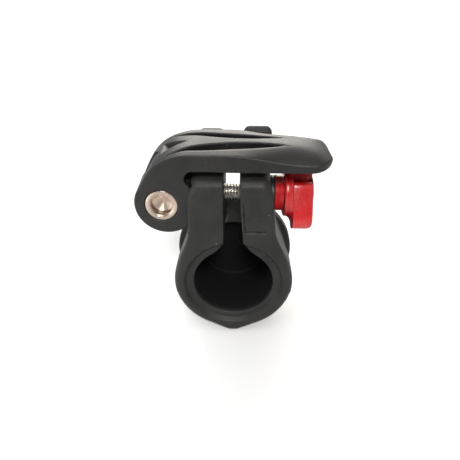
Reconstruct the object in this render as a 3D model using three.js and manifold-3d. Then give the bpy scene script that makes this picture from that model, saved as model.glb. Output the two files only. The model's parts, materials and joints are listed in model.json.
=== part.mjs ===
import * as THREE from 'three';
import { mergeVertices } from 'three/addons/utils/BufferGeometryUtils.js';
import Module from 'manifold-3d';

// Quick-release pipe clamp, in millimetres.
// X is right, Y runs into the bore, Z is up. The origin is on the bore axis, at the clamp's mouth.

// Clamp body
const BORE_R = 14;
const BORE_DEPTH = 25.5;
const BODY_DEPTH = 27;
const MOUTH_R = 17;
const MOUTH_DEPTH = 1.2;
const COLLAR_R = 20.9;
const COLLAR_ROUND = 2.6;
const WAIST_R = 19.7;
const FLANGE_R = 22.2;
const FLANGE_Y = 22.5;
const KEEL_Z = -22.6;
const KEEL_HALF = 1.8;
const EAR_TOP = 39.9;
const EAR_ROUND = 3.2;
const GUARD_Y = 23.9;
const GUARD_TOP_LEFT = 48.3;
const GUARD_TOP_RIGHT = 49.2;
const SLOT_END_Y = 19.6;
const BRIDGE_TOP = 20.8;

// Tie line: the bolt's axis, along X, and the barrel's axis, along Y, meet at the pin
const PIN_X = -23;
const PIN_Z = 30.5;
const TIE_Y = 12.4;
const BARREL_R = 5.2;
const BARREL_CLEARANCE = 0.06;
const BARREL_DRILL_R = 3.55;
const BOLT_R = 2.95;
const BOLT_HOLE_R = 3.3;
const BOLT_X0 = -27.6;
const BOLT_X1 = 23.9;

// Cam lever
const LEVER_Y0 = 1.5;
const LEVER_Y1 = 23.3;
const LOBE_X = -21.6;
const LOBE_Z = 30.9;
const LOBE_R = 9.8;
const UNDERSIDE_Z = 42;
const LEVER_TOP = 48.2;
const TIP_X = 30.8;
const TIP_CORNER = 7.5;
const FORK_WIDTH = 7;
const FORK_TOP = 33.9;
const CHANNEL_WALL = 2.5;
const CHANNEL_TOP = 43.6;

// Saddle, washer, knob and its insert
const CONTACT_X = -11.4;
const POCKET_R = 10.2;
const LIP = 1.2;
const SADDLE_THICK = 1.4;
const SADDLE_HALF_Y = 6.6;
const SADDLE_HALF_Z = 6.2;
const WASHER_X = 12;
const WASHER_R = 5.8;
const BOSS_X = 13.3;
const BOSS_R = 6;
const KNOB_FLANGE_X = 16.4;
const KNOB_FLANGE_R = 7.9;
const HEAD_X = 18.6;
const KNOB_END_X = 25.8;
const WING_LONG = 12;
const WING_WIDE = 6.2;
const WING_TURN = THREE.MathUtils.degToRad(25);
const INSERT_R = 4.2;
const GAP = 0.1;

const ROUND_STEPS = 64;
const FINE_STEPS = 40;

const wasm = await Module();
wasm.setup();

// A closed three.js geometry as a solid: shared corners merged, flat slivers at the poles left out.
function solid(geometry) {
  const bare = geometry.clone();
  bare.deleteAttribute('normal');
  bare.deleteAttribute('uv');
  const merged = mergeVertices(bare, 1e-4);
  const kept = [];
  for (let i = 0; i < merged.index.count; i += 3) {
    const corner = [0, 1, 2].map((k) => merged.index.getX(i + k));
    if (new Set(corner).size === 3) kept.push(...corner);
  }
  const vertProperties = new Float32Array(merged.attributes.position.array);
  return new wasm.Manifold(new wasm.Mesh({ numProp: 3, vertProperties, triVerts: new Uint32Array(kept) }));
}

function geometryOf(body) {
  const mesh = body.getMesh();
  const geometry = new THREE.BufferGeometry();
  geometry.setAttribute('position', new THREE.BufferAttribute(new Float32Array(mesh.vertProperties), 3));
  geometry.setIndex(new THREE.BufferAttribute(new Uint32Array(mesh.triVerts), 1));
  return geometry;
}

function shapeOf(points) {
  return new THREE.Shape(points.map(([a, b]) => new THREE.Vector2(a, b)));
}

const BASES = {
  X: [new THREE.Vector3(0, 1, 0), new THREE.Vector3(0, 0, 1), new THREE.Vector3(1, 0, 0)],
  Y: [new THREE.Vector3(1, 0, 0), new THREE.Vector3(0, 0, 1), new THREE.Vector3(0, -1, 0)],
  Z: [new THREE.Vector3(1, 0, 0), new THREE.Vector3(0, 1, 0), new THREE.Vector3(0, 0, 1)],
};

// A prism along one axis, from low to high. Its outline lies in the other two axes, in X, Y, Z order.
function prism(axis, shape, low, high, curveSegments = 12) {
  const outline = shape instanceof THREE.Shape ? shape : shapeOf(shape);
  const settings = { depth: high - low, bevelEnabled: false, curveSegments };
  const geometry = new THREE.ExtrudeGeometry(outline, settings);
  geometry.applyMatrix4(new THREE.Matrix4().makeBasis(...BASES[axis]));
  const start = axis === 'Y' ? high : low;
  geometry.translate(axis === 'X' ? start : 0, axis === 'Y' ? start : 0, axis === 'Z' ? start : 0);
  return solid(geometry);
}

// A profile of [radius, along] points, spun about the Y axis, or about the bolt's axis along X.
function turnedY(profile, steps = ROUND_STEPS) {
  return solid(new THREE.LatheGeometry(profile.map(([r, y]) => new THREE.Vector2(r, y)), steps));
}

function turnedTie(profile, steps = FINE_STEPS) {
  const geometry = new THREE.LatheGeometry(profile.map(([r, x]) => new THREE.Vector2(r, x)), steps);
  geometry.rotateZ(-Math.PI / 2);
  geometry.translate(0, TIE_Y, PIN_Z);
  return solid(geometry);
}

function cylinderY(radius, x, z, y0, y1, steps = ROUND_STEPS) {
  return turnedY([[0, y0], [radius, y0], [radius, y1], [0, y1]], steps).translate([x, 0, z]);
}

function cylinderTie(radius, x0, x1, steps = FINE_STEPS) {
  return turnedTie([[0, x0], [radius, x0], [radius, x1], [0, x1]], steps);
}

function arcPoints(cx, cy, radius, fromDeg, toDeg, steps) {
  const points = [];
  for (let i = 0; i <= steps; i += 1) {
    const angle = THREE.MathUtils.degToRad(fromDeg + ((toDeg - fromDeg) * i) / steps);
    points.push([cx + radius * Math.cos(angle), cy + radius * Math.sin(angle)]);
  }
  return points;
}

function box(x0, x1, y0, y1, z0, z1) {
  const geometry = new THREE.BoxGeometry(x1 - x0, y1 - y0, z1 - z0);
  geometry.translate((x0 + x1) / 2, (y0 + y1) / 2, (z0 + z1) / 2);
  return solid(geometry);
}

// The ring that the ears stand on: a collar with a rounded rim, a waist and the rear flange.
function ringBody() {
  const rim = arcPoints(COLLAR_R - COLLAR_ROUND, COLLAR_ROUND, COLLAR_ROUND, -90, 0, 6);
  return turnedY([
    [0, 0],
    ...rim,
    [COLLAR_R, 9],
    [WAIST_R, 13],
    [WAIST_R, FLANGE_Y - 0.6],
    [FLANGE_R - 0.6, FLANGE_Y],
    [FLANGE_R, FLANGE_Y + 0.6],
    [FLANGE_R, BODY_DEPTH - 0.8],
    [FLANGE_R - 0.8, BODY_DEPTH],
    [0, BODY_DEPTH],
  ]);
}

function keel() {
  const outline = [[-9.2, -18.7], [-KEEL_HALF, KEEL_Z], [KEEL_HALF, KEEL_Z], [9.2, -18.7], [0, -15]];
  return prism('Y', outline, 0.8, BODY_DEPTH - 0.8);
}

// The ears: their outline from the front, cut to their outline from the side.
function ears() {
  const left = new THREE.Shape();
  left.moveTo(-3, 4);
  left.lineTo(-3.2, EAR_TOP - EAR_ROUND);
  left.quadraticCurveTo(-3.2, EAR_TOP, -3.2 - EAR_ROUND, EAR_TOP);
  left.lineTo(-14.2 + EAR_ROUND, EAR_TOP);
  left.quadraticCurveTo(-14.2, EAR_TOP, -14.3, EAR_TOP - EAR_ROUND);
  left.lineTo(-15.1, 19.5);
  left.quadraticCurveTo(-15.4, 15.2, -18.2, 10.2);
  left.lineTo(-13, 0);
  const right = new THREE.Shape();
  right.moveTo(3, 4);
  right.lineTo(13, 0);
  right.lineTo(18.1, 10.3);
  right.quadraticCurveTo(14.6, 15.6, 14.1, 19.5);
  right.lineTo(12, EAR_TOP - EAR_ROUND);
  right.quadraticCurveTo(11.7, EAR_TOP, 11.7 - EAR_ROUND, EAR_TOP);
  right.lineTo(1.7 + EAR_ROUND, EAR_TOP);
  right.quadraticCurveTo(1.6, EAR_TOP, 1.8, EAR_TOP - EAR_ROUND);
  right.lineTo(3.3, 16.4);
  const round = 3.8;
  const side = [
    [0, 0],
    [BODY_DEPTH, 0],
    [BODY_DEPTH, EAR_TOP + 1],
    [round, EAR_TOP + 1],
    [round, EAR_TOP],
    ...arcPoints(round, EAR_TOP - round, round, 90, 180, 6).slice(1),
  ];
  const both = prism('Y', left, 0, BODY_DEPTH).add(prism('Y', right, 0, BODY_DEPTH));
  return both.intersect(prism('X', side, -24, 24));
}

// The two guards that stand behind the lever, rounded at the top.
function guard(x0, x1, top) {
  const round = 1.5;
  const low = 28;
  const front = [
    [x0, low],
    [x1, low],
    ...arcPoints(x1 - round, top - round, round, 0, 90, 5),
    ...arcPoints(x0 + round, top - round, round, 90, 180, 5),
  ];
  const side = [
    [GUARD_Y, low],
    [BODY_DEPTH, low],
    ...arcPoints(BODY_DEPTH - round, top - round, round, 0, 90, 5),
    ...arcPoints(GUARD_Y + round, top - round, round, 90, 180, 5),
  ];
  return prism('Y', front, GUARD_Y - 1, BODY_DEPTH + 1).intersect(prism('X', side, -20, 20));
}

function boreTool() {
  return turnedY([
    [0, -1],
    [MOUTH_R + 2, -1],
    [MOUTH_R, 0],
    [BORE_R, MOUTH_DEPTH],
    [BORE_R, BORE_DEPTH],
    [0, BORE_DEPTH],
  ]);
}

// The slot between the ears: its corners run into the bore, and a bridge closes it at the back.
function slotTool() {
  const slot = new THREE.Shape();
  slot.moveTo(0, 6);
  slot.lineTo(7.2, 12);
  slot.quadraticCurveTo(3.8, 13.2, 3.3, 16.8);
  slot.lineTo(1.8, 36.4);
  slot.lineTo(1.8, 60);
  slot.lineTo(-3.2, 60);
  slot.lineTo(-3.2, 36.4);
  slot.lineTo(-3.4, 17.4);
  slot.quadraticCurveTo(-3.6, 13.4, -7.2, 12);
  const front = prism('Y', slot, -1, SLOT_END_Y);
  return front.add(box(-3.2, 2.6, SLOT_END_Y - 0.5, BODY_DEPTH + 1, BRIDGE_TOP, 60));
}

// The left ear is hollowed behind its front lip for the lobe, and flat where the saddle lies.
function lobePocket() {
  const low = LOBE_Z - 0.6;
  const high = LOBE_Z + 1.6;
  const outline = [
    ...arcPoints(CONTACT_X - POCKET_R, low, POCKET_R, 180, 360, 24),
    ...arcPoints(CONTACT_X - POCKET_R, high, POCKET_R, 0, 180, 24),
  ];
  const hollow = prism('Y', outline, LIP, GUARD_Y - 0.2);
  const seat = box(
    CONTACT_X - 1,
    CONTACT_X + SADDLE_THICK + GAP,
    TIE_Y - SADDLE_HALF_Y - GAP,
    TIE_Y + SADDLE_HALF_Y + GAP,
    PIN_Z - SADDLE_HALF_Z - GAP,
    PIN_Z + SADDLE_HALF_Z + GAP,
  );
  return hollow.add(seat);
}

// A plain sunk panel on the front of the right ear, which leans with the ear.
function panelTool() {
  const outline = [[3.6, 22], [11, 22], [10.2, 33], [2.8, 33]];
  return prism('Y', outline, -1, 0.35);
}

function clampBody() {
  let body = ringBody().add(keel()).add(ears());
  body = body.add(guard(-12.8, -3.3, GUARD_TOP_LEFT)).add(guard(2.8, 12.7, GUARD_TOP_RIGHT));
  const washerSeat = cylinderTie(WASHER_R + 0.5, WASHER_X - GAP, WASHER_X + 6);
  const tools = [boreTool(), slotTool(), lobePocket(), panelTool(), washerSeat];
  tools.push(cylinderTie(BOLT_HOLE_R, -22, 20));
  for (const tool of tools) body = body.subtract(tool);
  return body;
}

// The lever from the side: the lobe, the notch round the ear's corner, the underside, tip and back.
function leverProfile() {
  const profile = new THREE.Shape();
  profile.moveTo(...arcPoints(LOBE_X, LOBE_Z, LOBE_R, 33, 33, 1)[0]);
  profile.lineTo(-14.7, 37.3);
  profile.absarc(-12.8, UNDERSIDE_Z - 2.5, 2.5, Math.PI * 1.2, Math.PI * 0.5, true);
  profile.lineTo(22, UNDERSIDE_Z);
  profile.quadraticCurveTo(28.6, UNDERSIDE_Z + 0.1, TIP_X - 0.3, 43.8);
  profile.quadraticCurveTo(TIP_X + 0.4, 45.4, TIP_X - 2.6, 46);
  profile.bezierCurveTo(22, LEVER_TOP - 0.4, 10, LEVER_TOP, -8, LEVER_TOP);
  profile.bezierCurveTo(-21.5, LEVER_TOP, -27.3, 43.9, -30.75, 34.6);
  profile.absarc(LOBE_X, LOBE_Z, LOBE_R, Math.PI * 0.878, Math.PI * 2.183, false);
  return profile;
}

// The lever from above: straight sides and a tip with rounded corners.
function leverPlan() {
  return [
    [-40, LEVER_Y0],
    ...arcPoints(TIP_X - TIP_CORNER, LEVER_Y0 + TIP_CORNER, TIP_CORNER, -90, 0, 8),
    ...arcPoints(TIP_X - TIP_CORNER, LEVER_Y1 - TIP_CORNER, TIP_CORNER, 0, 90, 8),
    [-40, LEVER_Y1],
  ];
}

// One long lens-shaped opening in the top, on the near or far side of the centre rib.
function leverSlot(side) {
  const slot = new THREE.Shape();
  const at = (offset) => TIE_Y + side * offset;
  slot.moveTo(-20.3, at(8));
  slot.quadraticCurveTo(-3, at(6), 15.4, at(3.1));
  slot.quadraticCurveTo(-5, at(-1.2), -20.3, at(8));
  return prism('Z', slot, UNDERSIDE_Z - 4, 52, 16);
}

// The gap in the middle of the lobe, where the bolt passes while the lever swings.
function forkTool() {
  const y0 = TIE_Y - FORK_WIDTH / 2;
  const y1 = TIE_Y + FORK_WIDTH / 2;
  return box(-40, -8, y0, y1, 15, FORK_TOP);
}

// The kite-shaped opening in the curved back.
function backWindow() {
  const outline = [[TIE_Y, 36.2], [TIE_Y + 6.5, 41.6], [TIE_Y, 44.4], [TIE_Y - 6.5, 41.6]];
  return prism('X', outline, -40, -22.5);
}

function camLever() {
  let lever = prism('Y', leverProfile(), LEVER_Y0, LEVER_Y1, 20);
  lever = lever.intersect(prism('Z', leverPlan(), 10, 60));
  const wall = CHANNEL_WALL;
  const tools = [
    box(-10, 40, LEVER_Y0 + wall, LEVER_Y1 - wall, 30, CHANNEL_TOP),
    forkTool(),
    leverSlot(-1),
    leverSlot(1),
    backWindow(),
    prism('Z', [[-21.4, TIE_Y - 3.1], [-15.3, TIE_Y], [-21.4, TIE_Y + 3.1]], UNDERSIDE_Z, 52),
    cylinderY(BARREL_R + BARREL_CLEARANCE, PIN_X, PIN_Z, 0, 24),
  ];
  for (const tool of tools) lever = lever.subtract(tool);
  return lever;
}

// A turned barrel with a drilled end at each side and a tapped cross hole for the bolt.
function pivotBarrel() {
  const y0 = LEVER_Y0 + 0.2;
  const y1 = LEVER_Y1 - 0.2;
  const wall = 2.3;
  const point = 2.1;
  const barrel = turnedY([
    [0, y0 + wall + point],
    [BARREL_DRILL_R, y0 + wall],
    [BARREL_DRILL_R, y0 + 0.3],
    [BARREL_DRILL_R + 0.3, y0],
    [BARREL_R - 0.25, y0],
    [BARREL_R, y0 + 0.25],
    [BARREL_R, y1 - 0.25],
    [BARREL_R - 0.25, y1],
    [BARREL_DRILL_R + 0.3, y1],
    [BARREL_DRILL_R, y1 - 0.3],
    [BARREL_DRILL_R, y1 - wall],
    [0, y1 - wall - point],
  ]).translate([PIN_X, 0, PIN_Z]);
  return barrel.subtract(cylinderTie(BOLT_R + GAP, -40, 0));
}

function tieBolt() {
  const nose = 0.6;
  return turnedTie([
    [0, BOLT_X0],
    [BOLT_R - nose, BOLT_X0],
    [BOLT_R, BOLT_X0 + nose],
    [BOLT_R, BOLT_X1 - nose],
    [BOLT_R - nose, BOLT_X1],
    [0, BOLT_X1],
  ]);
}

// The plate that the cam lobe slides on.
function camSaddle() {
  const plate = box(
    CONTACT_X,
    CONTACT_X + SADDLE_THICK,
    TIE_Y - SADDLE_HALF_Y,
    TIE_Y + SADDLE_HALF_Y,
    PIN_Z - SADDLE_HALF_Z,
    PIN_Z + SADDLE_HALF_Z,
  );
  return plate.subtract(cylinderTie(BOLT_HOLE_R, -20, 0));
}

function thrustWasher() {
  const washer = cylinderTie(WASHER_R, WASHER_X, BOSS_X - GAP);
  return washer.subtract(cylinderTie(BOLT_HOLE_R, 0, 20));
}

// The knob's head from the end: a rounded bar, turned so that one wing leans forward.
function knobHead() {
  const outline = [];
  for (let i = 0; i < 48; i += 1) {
    const angle = (i / 48) * Math.PI * 2;
    const power = 2 / 2.6;
    const along = Math.sign(Math.cos(angle)) * Math.abs(Math.cos(angle)) ** power * WING_LONG;
    const across = Math.sign(Math.sin(angle)) * Math.abs(Math.sin(angle)) ** power * WING_WIDE;
    outline.push([
      TIE_Y + along * Math.sin(WING_TURN) - across * Math.cos(WING_TURN),
      PIN_Z + along * Math.cos(WING_TURN) + across * Math.sin(WING_TURN),
    ]);
  }
  const chamfer = turnedTie([
    [0, HEAD_X - 1],
    [WING_LONG + 1, HEAD_X - 1],
    [WING_LONG + 1, KNOB_END_X - 1.9],
    [WING_LONG - 1, KNOB_END_X],
    [0, KNOB_END_X],
  ], ROUND_STEPS);
  return prism('X', outline, HEAD_X - 0.5, KNOB_END_X).intersect(chamfer);
}

function wingKnob() {
  const stem = turnedTie([
    [0, BOSS_X],
    [BOSS_R - 0.3, BOSS_X],
    [BOSS_R, BOSS_X + 0.3],
    [BOSS_R, KNOB_FLANGE_X],
    [KNOB_FLANGE_R, KNOB_FLANGE_X],
    [KNOB_FLANGE_R, HEAD_X],
    [0, HEAD_X],
  ], ROUND_STEPS);
  const hole = turnedTie([
    [0, 0],
    [INSERT_R + GAP, 0],
    [INSERT_R + GAP, KNOB_END_X + 1],
    [0, KNOB_END_X + 1],
  ]);
  return stem.add(knobHead()).subtract(hole);
}

function knobInsert() {
  const insert = cylinderTie(INSERT_R, BOSS_X + 0.5, KNOB_END_X - 1.4);
  return insert.subtract(cylinderTie(BOLT_R + GAP, 0, 40));
}

const FINISHES = {
  nylon: { color: 0x1b1b1c, roughness: 0.55, metalness: 0 },
  lever: { color: 0x222223, roughness: 0.5, metalness: 0 },
  steel: { color: 0xc9bfb4, roughness: 0.28, metalness: 1 },
  thread: { color: 0xa9a39b, roughness: 0.35, metalness: 1 },
  plate: { color: 0x8d8f90, roughness: 0.4, metalness: 1 },
  washer: { color: 0x262626, roughness: 0.5, metalness: 0 },
  red: { color: 0xc1121a, roughness: 0.3, metalness: 0 },
  brass: { color: 0xb08d45, roughness: 0.35, metalness: 1 },
};

const group = new THREE.Group();

function addPart(name, body, finish) {
  const mesh = new THREE.Mesh(geometryOf(body), new THREE.MeshStandardMaterial(FINISHES[finish]));
  mesh.name = name;
  group.add(mesh);
}

addPart('clamp_body', clampBody(), 'nylon');
addPart('cam_lever', camLever(), 'lever');
addPart('pivot_barrel', pivotBarrel(), 'steel');
addPart('tie_bolt', tieBolt(), 'thread');
addPart('cam_saddle', camSaddle(), 'plate');
addPart('thrust_washer', thrustWasher(), 'washer');
addPart('wing_knob', wingKnob(), 'red');
addPart('knob_insert', knobInsert(), 'brass');

export default group;
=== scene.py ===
import json
import math

import bmesh
import bpy
import numpy as np
from bpy.props import FloatProperty, FloatVectorProperty, PointerProperty
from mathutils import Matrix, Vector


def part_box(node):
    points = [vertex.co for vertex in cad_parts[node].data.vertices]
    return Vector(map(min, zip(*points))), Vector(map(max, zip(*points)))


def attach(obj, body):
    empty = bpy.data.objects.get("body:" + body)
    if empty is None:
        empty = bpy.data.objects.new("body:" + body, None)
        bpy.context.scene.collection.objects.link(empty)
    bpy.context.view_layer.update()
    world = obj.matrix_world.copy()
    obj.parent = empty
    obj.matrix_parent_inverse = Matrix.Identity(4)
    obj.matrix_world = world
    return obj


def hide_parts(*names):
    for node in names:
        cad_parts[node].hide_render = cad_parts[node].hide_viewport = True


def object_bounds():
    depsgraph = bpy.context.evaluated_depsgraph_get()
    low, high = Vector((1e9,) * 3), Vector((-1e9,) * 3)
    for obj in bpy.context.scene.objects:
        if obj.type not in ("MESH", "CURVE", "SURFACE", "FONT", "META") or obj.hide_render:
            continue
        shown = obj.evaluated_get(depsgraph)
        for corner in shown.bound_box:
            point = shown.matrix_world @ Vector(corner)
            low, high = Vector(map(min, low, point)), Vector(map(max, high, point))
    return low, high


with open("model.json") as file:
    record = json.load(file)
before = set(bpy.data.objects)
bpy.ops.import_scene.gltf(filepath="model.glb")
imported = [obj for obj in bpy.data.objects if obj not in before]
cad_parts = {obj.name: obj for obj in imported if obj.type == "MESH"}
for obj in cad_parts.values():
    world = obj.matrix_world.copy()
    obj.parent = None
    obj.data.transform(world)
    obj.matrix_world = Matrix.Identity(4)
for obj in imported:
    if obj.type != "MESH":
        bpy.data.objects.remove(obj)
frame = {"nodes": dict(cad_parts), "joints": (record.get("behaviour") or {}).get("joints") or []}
CAD_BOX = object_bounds()

bl_info = {
    "name": "Quick-release Pipe Clamp",
    "version": (1, 0, 0),
    "blender": (4, 5, 0),
    "location": "View3D > Sidebar > Pipe Clamp",
    "description": "Builds the moulded collar, cam lever, tie bolt and winged knob of a pipe clamp",
    "category": "Add Mesh",
}

MM = 0.001
TAU = math.tau


def joint_place(name):
    """The point on a joint's axis, from the frame, in millimetres."""
    joint = next(j for j in frame["joints"] if j["name"] == name)
    return [v / MM for v in joint["pos_m"]]


def node_box(node):
    """A frame node's lowest and highest corner, in millimetres."""
    low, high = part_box(node)
    return np.array(low) / MM, np.array(high) / MM


PIN_X, TIE_Y, PIN_Z = joint_place("lever_pivot")
BODY_LOW, BODY_HIGH = node_box("clamp_body")
LEVER_LOW, LEVER_HIGH = node_box("cam_lever")
BARREL_LOW, BARREL_HIGH = node_box("pivot_barrel")
BOLT_LOW, BOLT_HIGH = node_box("tie_bolt")
WASHER_LOW, WASHER_HIGH = node_box("thrust_washer")
KNOB_LOW, KNOB_HIGH = node_box("wing_knob")
INSERT_LOW, INSERT_HIGH = node_box("knob_insert")

# Clamp body, in millimetres from the bore's axis and mouth
BORE_DEPTH = 25.5
MOUTH_R = 17.0
MOUTH_SLOPE = 0.8
MOUTH_DEPTH = 1.5
WAIST_R = 19.7
WAIST_START = 9
WAIST_END = 14
KEEL_DEGREES = 27
KEEL_HALF = 8.5
FLANGE_R = 22.2
FLANGE_Y = 22.5
EAR_LEFT = -15.1
EAR_RIGHT = 14.1
EAR_FOOT = 19.5
EAR_TOP = 39.9
EAR_LEAN_LEFT = 0.047
EAR_LEAN_RIGHT = 0.13
SLOT_LEFT = -3.25
SLOT_RIGHT = 1.8
SLOT_LEAN = 0.075
SLOT_WIDE_Z = 36.4
SLOT_END_Y = 19.6
BRIDGE_TOP = 20.8
BRIDGE_SLOPE = 0.45
PANEL_X = 7.35
PANEL_Z = 27.4
PANEL_LEAN = 0.073
PANEL_HALF_WIDTH = 3.75
PANEL_HALF_HEIGHT = 5.6
PANEL_DEPTH = 0.14
PANEL_LINE_DEPTH = 0.8
GUARD_Y = 23.9
GUARD_STEP = 0.9
GUARD_SLOPE = 0.4
GUARD_LEFT_X = -8.05
GUARD_LEFT_HALF = 4.75
GUARD_RIGHT_X = 7.75
GUARD_RIGHT_HALF = 4.95
GUARD_CORNER = 2.2
POCKET_GAP = 0.35
BOLT_HOLE_R = 3.3
WASHER_SEAT_R = 6.3
BODY_DEPTH = BODY_HIGH[1]
KEEL_Z = BODY_LOW[2]
GUARD_TOP = BODY_HIGH[2]

# Cam lever
LOBE_X = -21.6
LOBE_Z = 30.75
LOBE_R = 10.0
UNDERSIDE_Z = 42.0
CHANNEL_TOP = 43.6
SPINE_Z = 48.65
TOP_LEAN = 0.055
TOP_FALL = 2.9
TOP_EDGE_Z = 48.0
TOP_EDGE_FALL = 3.1
DOME_POWER = 2.7
SCOOP_DEPTH = 0.3
TIP_CORNER = 7.5
CHANNEL_WALL = 2.5
FORK_TOP = 33.9
FORK_HALF = 3.5
OPENING_X = -20.3
OPENING_LENGTH = 35.7
OPENING_START = 8.0
OPENING_END = 3.1
WINDOW_Z = 41.4
PIN_GAP = 0.16
TIP_X = LEVER_HIGH[0]
LEVER_MID = (LEVER_LOW[1] + LEVER_HIGH[1]) / 2
LEVER_HALF = (LEVER_HIGH[1] - LEVER_LOW[1]) / 2

# Knob and hardware
BOSS_R = 6.0
KNOB_FLANGE_R = 7.9
KNOB_BORE_R = 4.35
WING_AHEAD = 12.0
WING_BACK = 3.8
WING_WIDE_SIDE = 6.2
WING_NARROW_SIDE = 2.5
WING_CORNER_POWER = 5.0
WING_JOIN_POWER = 9
THREAD_R = 2.94
THREAD_DEPTH = 0.6
DRILL_R = 3.55
DRILL_DEPTH = 3.1
DRILL_POINT = 2.1

# Stage, in metres and degrees
SKY_ON_PIECES = 0.26
SKY_SEEN = 1.0
FLOOR_REACH = 14
FLOOR_TONE = (0.68, 0.68, 0.68)
SIDE_PANEL_WATTS = 0.09
SIDE_PANEL_SIZE = 0.08
SIDE_PANEL_PLACE = (-0.13, -0.07, 0.03)
SIDE_PANEL_TURN = (88, 0, -55)
CAMERA_PLACE = (0.00195, -0.1097, 0.0907)
CAMERA_TURN = (58.3, 0, 1.6)
CAMERA_LENS = 31.3
SUNS = (
    # name, elevation, azimuth, strength, width, colour
    ("sky_behind", 27, 180, 2.7, 44, (1.0, 0.96, 0.89)),
    ("sky_back_left", 38, -120, 0.9, 50, (0.86, 0.91, 1.0)),
    ("sky_above", 78, 0, 0.7, 40, (1.0, 0.99, 0.97)),
    ("sky_front", 44, 6, 3.2, 16, (1.0, 0.985, 0.95)),
    ("sky_right", 30, 70, 0.4, 50, (1.0, 1.0, 1.0)),
)


# --- Shapes as distance fields ------------------------------------------------------------------

def round_max(a, b, r):
    """The common part of two fields, its edge rounded: the larger field, or, where both come within r
    of the edge, the distance from an arc of radius r that touches both."""
    return np.minimum(np.maximum(a, b), -r) + np.hypot(np.maximum(a + r, 0), np.maximum(b + r, 0))


def round_min(a, b, r):
    """The union of two fields, with a fillet of radius r in the corner between them."""
    return -round_max(-a, -b, r)


def smooth_step(v, low, high):
    """0 below low, 1 above high, and 3t^2 - 2t^3 between them."""
    t = np.clip((v - low) / (high - low), 0, 1)
    return t * t * (3 - 2 * t)


def surface_net(field, axes):
    """The surface where field(x, y, z) is 0, as vertices and quads. Each grid cell that the surface
    crosses gets one vertex, at the mean of its edges' crossings, and each grid edge that it crosses
    gets a quad through its four cells. Each vertex then moves along the field's slope, twice, by
    field / slope^2, so that it lies on the surface itself."""
    x, y, z = axes
    grid = field(x[:, None, None], y[None, :, None], z[None, None, :])
    inside = grid < 0
    cells = tuple(n - 1 for n in grid.shape)
    corners = [(i, j, k) for i in (0, 1) for j in (0, 1) for k in (0, 1)]
    count = sum(
        inside[i:i + cells[0], j:j + cells[1], k:k + cells[2]].astype(np.int8) for i, j, k in corners
    )
    cell = np.argwhere((count > 0) & (count < 8))
    total = np.zeros((len(cell), 3))
    crossings = np.zeros(len(cell))
    for a in corners:
        for axis in range(3):
            if a[axis]:
                continue
            b = tuple(a[n] + (n == axis) for n in range(3))
            ca, cb = cell + a, cell + b
            fa, fb = grid[tuple(ca.T)], grid[tuple(cb.T)]
            hit = (fa < 0) != (fb < 0)
            t = np.where(hit, fa / np.where(hit, fa - fb, 1), 0)
            for n in range(3):
                pa, pb = axes[n][ca[:, n]], axes[n][cb[:, n]]
                total[:, n] += np.where(hit, pa + (pb - pa) * t, 0)
            crossings += hit
    points = total / crossings[:, None]

    index = np.full(cells, -1, np.int64)
    index[tuple(cell.T)] = np.arange(len(cell))
    quads = []
    for axis in range(3):
        u, v = [(1, 2), (2, 0), (0, 1)][axis]
        first = np.moveaxis(inside, axis, 0)[:-1]
        last = np.moveaxis(inside, axis, 0)[1:]
        edge = np.argwhere(np.moveaxis(first != last, 0, axis))
        edge = edge[(edge[:, u] > 0) & (edge[:, v] > 0)]
        edge = edge[(edge[:, u] < cells[u]) & (edge[:, v] < cells[v])]
        ring = []
        for du, dv in ((1, 1), (0, 1), (0, 0), (1, 0)):
            at = edge.copy()
            at[:, u] -= du
            at[:, v] -= dv
            ring.append(index[tuple(at.T)])
        quad = np.stack(ring, axis=1)
        outward = inside[tuple(edge.T)]
        quads.append(np.where(outward[:, None], quad, quad[:, ::-1]))
    quads = np.concatenate(quads)

    reach = 0.5 * min(float(np.diff(a).min()) for a in axes)
    probe = 0.01
    for _ in range(2):
        here = field(*points.T)
        slope = np.stack(
            [(field(*(points + probe * e).T) - field(*(points - probe * e).T)) for e in np.eye(3)], axis=1
        ) / (2 * probe)
        size = np.maximum((slope ** 2).sum(axis=1), 0.05)
        step = slope * (here / size)[:, None]
        length = np.linalg.norm(step, axis=1)
        points = points - step * np.minimum(1, reach / np.maximum(length, 1e-9))[:, None]
    return points, quads


def grid_lines(low, high, pad, step):
    """Three runs of grid lines, step apart, that cover a box and pad more on every side."""
    return [np.arange(low[n] - pad, high[n] + pad + step, step) for n in range(3)]


# --- Meshes -------------------------------------------------------------------------------------

def mesh_piece(name, points, quads, body, node):
    """A smooth-shaded object of the given points (in millimetres) and quads, on a body of the frame."""
    mesh = bpy.data.meshes.new(name)
    mesh.vertices.add(len(points))
    mesh.vertices.foreach_set("co", (np.asarray(points) * MM).ravel().astype(np.float32))
    mesh.loops.add(quads.size)
    mesh.loops.foreach_set("vertex_index", quads.ravel().astype(np.int32))
    mesh.polygons.add(len(quads))
    mesh.polygons.foreach_set("loop_start", np.arange(0, quads.size, 4, dtype=np.int32))
    mesh.update(calc_edges=True)
    mesh.validate()
    piece = bpy.data.objects.new(name, mesh)
    bpy.context.scene.collection.objects.link(piece)
    mesh.shade_smooth()
    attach(piece, body)
    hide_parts(node)
    return piece


def wrapped_quads(rows, columns):
    """Quads of a grid of rows by columns whose last column joins its first."""
    r = np.arange(rows - 1)[:, None]
    c = np.arange(columns)[None, :]
    after = (c + 1) % columns
    corners = [r * columns + c, r * columns + after, (r + 1) * columns + after, (r + 1) * columns + c]
    return np.stack(np.broadcast_arrays(*corners), axis=-1).reshape(-1, 4)


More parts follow.
